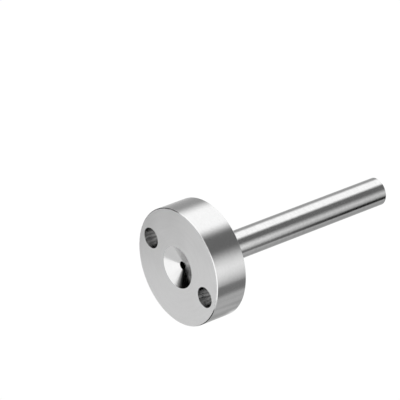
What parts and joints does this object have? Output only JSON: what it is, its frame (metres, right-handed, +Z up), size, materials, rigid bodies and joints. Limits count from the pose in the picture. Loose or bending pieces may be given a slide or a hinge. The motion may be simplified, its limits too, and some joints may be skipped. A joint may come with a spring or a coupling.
{
  "type": "sprue bushing",
  "caption": "Bolt-down sprue bushing for an injection mould: a round flange with stepped screw holes and a conical nozzle seat, on a long plain stem with a tapered channel.",
  "frame": {"origin": "centre of the flange's back, the face that seats on the mould, on the bushing's axis", "axes": "+Y along the axis from the flange to the end of the stem, so the nozzle side faces -Y; the screw holes lie along X; +Z is up, as the bushing sits in a mould with a level axis"},
  "size_m": [0.05, 0.108, 0.05],
  "materials": {
    "tool_steel": "bare hardened tool steel, turned and ground, with a polished nozzle seat"
  },
  "bodies": {
    "root": {"sprue_bushing": "tool_steel"}
  },
  "joints": []
}
